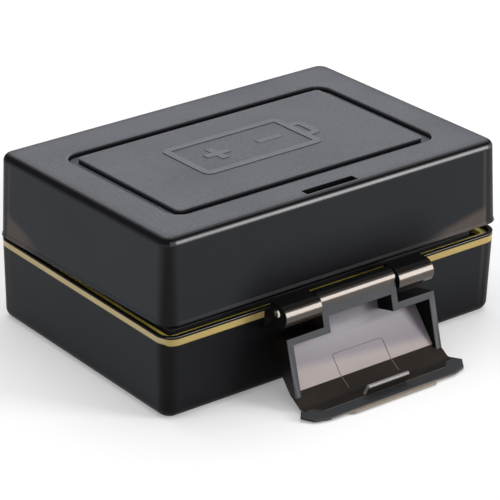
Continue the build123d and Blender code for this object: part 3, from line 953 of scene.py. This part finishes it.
def latch_zone(centre, facing):
    """The zone of a face, from its centre and direction on the closed latch."""
    along = (centre - crease).dot(lip_along)
    down = (centre - crease).dot(lip_down)
    within = abs(centre.x) < panel_half_width
    if math.hypot(centre.y, centre.z) < barrel_radius:
        return shine_zone((latch_turn.to_3x3() @ facing).z)
    if along > tab_start:
        return "tab"
    # Painted highlight on the ridge's top, with painted shade below it
    if along > ridge_start and down < -ridge_lift and abs(centre.x) < ridge_half_length:
        return "ridge" if down < -ridge_top else "deep"
    if along > -hair and facing.dot(lip_down) < -halfway:
        return "deep" if abs(down) < 2 * hair else "rim"
    in_bend = fold.z - hair < centre.z < crease.z and centre.y > fold.y - hair
    if in_bend and facing.y > inward and down < 2 * hair:
        return "lip" if abs(facing.z) > halfway else "frame"
    on_panel = panel_top < centre.z < fold.z and centre.y < fold.y
    if on_panel and facing.y > well_inward and within:
        return "panel" if panel_gap(centre) < panel_near else "frame"
    # Painted shade: black inner walls, and near black faces turned away from the latch's inside
    if abs(facing.x) > mostly and within:
        return "inner wall"
    return "frame" if facing.y > well_inward else "skin"


paint_faces(latch, latch_finishes, latch_zone, latch_turn.inverted())

# %% [markdown]
# ## A moulded line on the latch panel
# A thin line in the shape of an upturned U runs over the panel and across its fold, where two halves of
# the mould met. A line that follows a path is a sweep again: its corner points are joined in a small
# mesh, and the tree makes them a curve, rounds it and carries a thin round section along it, half sunk.

# %% Sweep the moulded line
line_half_width = 7.5 * MM
line_top_share, line_foot_share = 0.45, 0.85
line_size = {"Line radius": 0.09 * MM, "Corner radius": 0.7 * MM}


def drawn_mesh(name, strokes):
    """Strokes as rows of joined points. A stroke that ends on its first point becomes a loop."""
    points, edges = [], []
    for stroke in strokes:
        first = len(points)
        closed = stroke[0] == stroke[-1]
        points += stroke[:-1] if closed else stroke
        edges += [(i, i + 1) for i in range(first, len(points) - 1)]
        if closed:
            edges.append((len(points) - 1, first))
    data = bpy.data.meshes.new(name)
    data.from_pydata(points, edges, [])
    return data


def drawn_path(tree, size, count):
    """The edges of the incoming mesh as curves with rounded corners."""
    path = output(tree, "GeometryNodeMeshToCurve", {0: size["Geometry"]})
    return rounded(tree, path, size["Corner radius"], count, limit=True)


def line_tree(finish):
    """A thin round section swept along a drawn path."""
    tree, size, result = new_tree("line_sweep", line_size)
    path = drawn_path(tree, size, count=6)
    circle = {"Resolution": 8, "Radius": size["Line radius"]}
    section = output(tree, "GeometryNodeCurvePrimitiveCircle", circle)
    close_tree(tree, result, sweep(tree, path, section, caps=True), finish)
    return tree


def line_path():
    """The corner points of the line, joined in a row."""
    upper = knee.lerp(fold, line_top_share)
    lower = fold.lerp(crease, line_foot_share)
    side = Vector((line_half_width, 0, 0))
    points = [lower - side, fold - side, upper - side, upper + side, fold + side, lower + side]
    return drawn_mesh("line_path", [[latch_turn @ point for point in points]])


line_finish = glossy("moulded_line", (0.10, 0.085, 0.08, 1), (0.20, 0.175, 0.17, 1), 0.3, 0.4)
mould_line = bake("latch_mould_line", line_tree(line_finish), line_size, line_path())
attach(mould_line, "latch")

# %% [markdown]
# ## Steel pins
# Both hinges turn on plain drawn pins. Drawing leaves fine lines along the wire, so the steel's noise is
# stretched along the pin, and it changes both the colour and the roughness. The solids are already right
# and stay, with only their finish changed.

# %% Drawn steel on both pins
steel_tones = ((0.50, 0.49, 0.47, 1), (0.72, 0.71, 0.69, 1))
lines_per_metre = (60, 4000, 4000)


def steel_finish():
    """Bright steel with fine lines along X."""
    made, tree, shader, place = new_finish("drawn_steel", Metallic=1.0, IOR=2.5)
    stretched = output(tree, "ShaderNodeMapping", {"Vector": place["Object"], "Scale": lines_per_metre})
    lines = noise(tree, stretched, 1.0, 3.0)
    coat(tree, shader, blend(tree, lines, *steel_tones), lines, 0.18, 0.34)
    return made


steel = steel_finish()
for pin in ("latch_pin", "hinge_pin"):
    frame["nodes"][pin].data.materials.clear()
    frame["nodes"][pin].data.materials.append(steel)
print("steel on both pins")

# %% [markdown]
# ## Trays and their screws
# The inserts are black moulded trays with the same grain as the shells. Each is held by two small screws,
# and two alike pieces are a job for instances: the tree makes one screw, with a domed head and a cross cut
# into it, puts it on every point of a line, and makes the copies real.

# %% Tray finish
tray_tones = ((0.020, 0.020, 0.022, 1), (0.032, 0.032, 0.034, 1))


def tray_finish():
    """Black plastic, worn a little lighter in patches."""
    made, tree, shader, place = new_plastic("tray_black", 0.3, ior=1.46)
    worn = step(tree, noise(tree, place["Object"], 30 * MM, 3), 0.4, 0.7)
    colour = blend(tree, worn, *tray_tones)
    moulded_detail(tree, shader, place, colour, 0.36, 0.55, grain_depth=0.03 * MM)
    return made


tray_black = tray_finish()
battery_tray.data.materials.append(tray_black)
card_tray.data.materials.append(tray_black)
print("tray finish", tray_black.name)

# %% Screws as instances on a line
screw_size = {
    "Head radius": 1.8 * MM, "Head height": 1.2 * MM, "Cross length": 2.0 * MM, "Cross width": 0.45 * MM,
    "Cross depth": 0.6 * MM, "Shank radius": 0.95 * MM, "Shank length": 6.0 * MM,
}
sliver = 0.005 * MM


def domed_head(tree, size):
    """The upper half of a flattened ball, closed by a flat face."""
    sphere = {"Segments": 32, "Rings": 24, "Radius": size["Head radius"]}
    flatness = calc(tree, "DIVIDE", size["Head height"], size["Head radius"])
    squash = join_axes(tree, X=1.0, Y=1.0, Z=flatness)
    ball = transform(tree, output(tree, "GeometryNodeMeshUVSphere", sphere), Scale=squash)
    point = split(tree, output(tree, "GeometryNodeInputPosition"))
    raised = join_axes(tree, X=point["X"], Y=point["Y"], Z=calc(tree, "MAXIMUM", point["Z"], 0.0))
    return output(tree, "GeometryNodeSetPosition", {"Geometry": ball, "Position": raised})


def cross_cutter(tree, size):
    """Two bars joined into a cross, half sunk into the top of the head."""
    cross = add_node(tree, "GeometryNodeMeshBoolean", operation="UNION", solver="EXACT")
    deep = multiply(tree, size["Cross depth"], 2.0)
    for first, second in (("Cross length", "Cross width"), ("Cross width", "Cross length")):
        extent = join_axes(tree, X=size[first], Y=size[second], Z=deep)
        tree.links.new(output(tree, "GeometryNodeMeshCube", {"Size": extent}), cross.inputs["Mesh 2"])
    return transform(tree, cross.outputs[0], Translation=join_axes(tree, Z=size["Head height"]))


def screw_tree(finish):
    """Two screws on a line along Y, heads up, with the cross cut cleanly into each."""
    tree, size, result = new_tree("screw_row", [*screw_size, "Spacing"])
    parts = {"Mesh 1": domed_head(tree, size), "Mesh 2": cross_cutter(tree, size)}
    head = output(tree, "GeometryNodeMeshBoolean", parts, operation="DIFFERENCE", solver="EXACT")
    head = output(tree, "GeometryNodeMergeByDistance", {"Geometry": head, "Distance": sliver})
    cylinder = {"Vertices": 20, "Radius": size["Shank radius"], "Depth": size["Shank length"]}
    middle = join_axes(tree, Z=multiply(tree, size["Shank length"], -0.5))
    shank = transform(tree, output(tree, "GeometryNodeMeshCylinder", cylinder), Translation=middle)
    screw = add_node(tree, "GeometryNodeJoinGeometry")
    for piece in (head, shank):
        tree.links.new(piece, screw.inputs[0])
    start = join_axes(tree, Y=multiply(tree, size["Spacing"], -0.5))
    offset = join_axes(tree, Y=size["Spacing"])
    row = output(tree, "GeometryNodeMeshLine", {"Count": 2, "Start Location": start, "Offset": offset})
    pair = {"Points": row, "Instance": screw.outputs[0]}
    copies = output(tree, "GeometryNodeInstanceOnPoints", pair)
    close_tree(tree, result, copies, finish, smooth=False)
    return tree


lid_turn = (
    Matrix.Translation(joints["lid_hinge"]) @ Matrix.Rotation(lid_ajar, 4, "X")
    @ Matrix.Translation(-joints["lid_hinge"])
)
tray_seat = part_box("tray_screws")[1].z - screw_size["Head height"]
card_seat = 28.2 * MM
heads_down = Matrix.Rotation(math.pi, 4, "X")
tray_place = Matrix.Translation((0, 0, tray_seat))
card_place = lid_turn @ Matrix.Translation((0, 0, card_seat)) @ heads_down
# Name, node, body, spacing and place of each pair of screws
screw_rows = (
    ("tray_screw_pair", "tray_screws", "base", 36 * MM, tray_place),
    ("card_screw_pair", "card_tray_screws", "lid", 44 * MM, card_place),
)
screws = screw_tree(steel)
for name, node, body, spacing, place in screw_rows:
    pair = bake(name, screws, {**screw_size, "Spacing": spacing})
    pair.data.transform(place)
    stand_in(pair, node, body)

# %% [markdown]
# ## A battery sign on the lid
# The middle of the plateau carries a sign in low relief, so that nobody has to open the case to know what
# it holds: the outline of a battery with its cap, a plus and a minus. The strokes follow paths, so one
# more sweep makes them: each path is a line of points, and a flat bar is carried along it. Only a thin
# layer of the bar stands out of the plateau. Where strokes cross, each lies a hair lower than the one
# before, because two faces in one plane would flicker.

# %% Sweep the sign and lay it on the plateau
sign_size = {"Stroke width": 2.0 * MM, "Stroke height": 0.5 * MM, "Corner radius": 1.2 * MM}
sign_relief, sign_shift = 0.2 * MM, 0.8 * MM
stroke_round, stroke_drop, face_up = 0.06 * MM, 0.02 * MM, 0.4
sign_left, sign_right, sign_half = -18 * MM, 15 * MM, 8.5 * MM
cap_reach, cap_half = 3.5 * MM, 3.5 * MM
plus_place, minus_place, arm = -9 * MM, 6.5 * MM, 3.5 * MM


def sign_tree(finish):
    """A flat bar swept along drawn paths that lie level."""
    tree, size, result = new_tree("sign_sweep", sign_size)
    path = drawn_path(tree, size, count=8)
    level = output(tree, "GeometryNodeSetCurveNormal", {"Curve": path}, mode="Z_UP")
    bar = rectangle(tree, size["Stroke width"], size["Stroke height"])
    bar = rounded(tree, bar, stroke_round, count=2)
    close_tree(tree, result, sweep(tree, level, bar, caps=True), finish, smooth=False)
    return tree


def sign_paths():
    """The strokes of the sign on the plateau: a closed body, a cap, a plus and a minus."""
    cap_end = sign_right + cap_reach
    strokes = (
        ((sign_left, -sign_half), (sign_right, -sign_half), (sign_right, sign_half), (sign_left, sign_half),
         (sign_left, -sign_half)),
        ((sign_right, -cap_half), (cap_end, -cap_half), (cap_end, cap_half), (sign_right, cap_half)),
        ((plus_place - arm, 0), (plus_place + arm, 0)),
        ((plus_place, -arm), (plus_place, arm)),
        ((minus_place - arm, 0), (minus_place + arm, 0)),
    )
    levels = [[(x, y, -stroke_drop * order) for x, y in stroke] for order, stroke in enumerate(strokes)]
    return drawn_mesh("sign_paths", levels)


def sign_zone(centre, facing):
    """The upward face of a stroke, painted light like the roof's top, or its side, black as painted shade,
    wherever the face is.
    """
    return "face" if facing.z > face_up else "side"


# Painted light and shade: the strokes' faces are a little lighter than the roof's top, and their sides black
sign_face = plain_plastic("sign_face", (0.132, 0.138, 0.159, 1), 0.2, 0.4, 0.55)
sign = bake("battery_sign", sign_tree(sign_face), sign_size, sign_paths())
sign_height = lid_top + sign_relief - sign_size["Stroke height"] / 2
sign.data.transform(lid_turn @ Matrix.Translation((0, sign_shift, sign_height)))
sign.data.materials.clear()
paint_faces(sign, {"face": sign_face, "side": painted_shade_black}, sign_zone)
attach(sign, "lid")
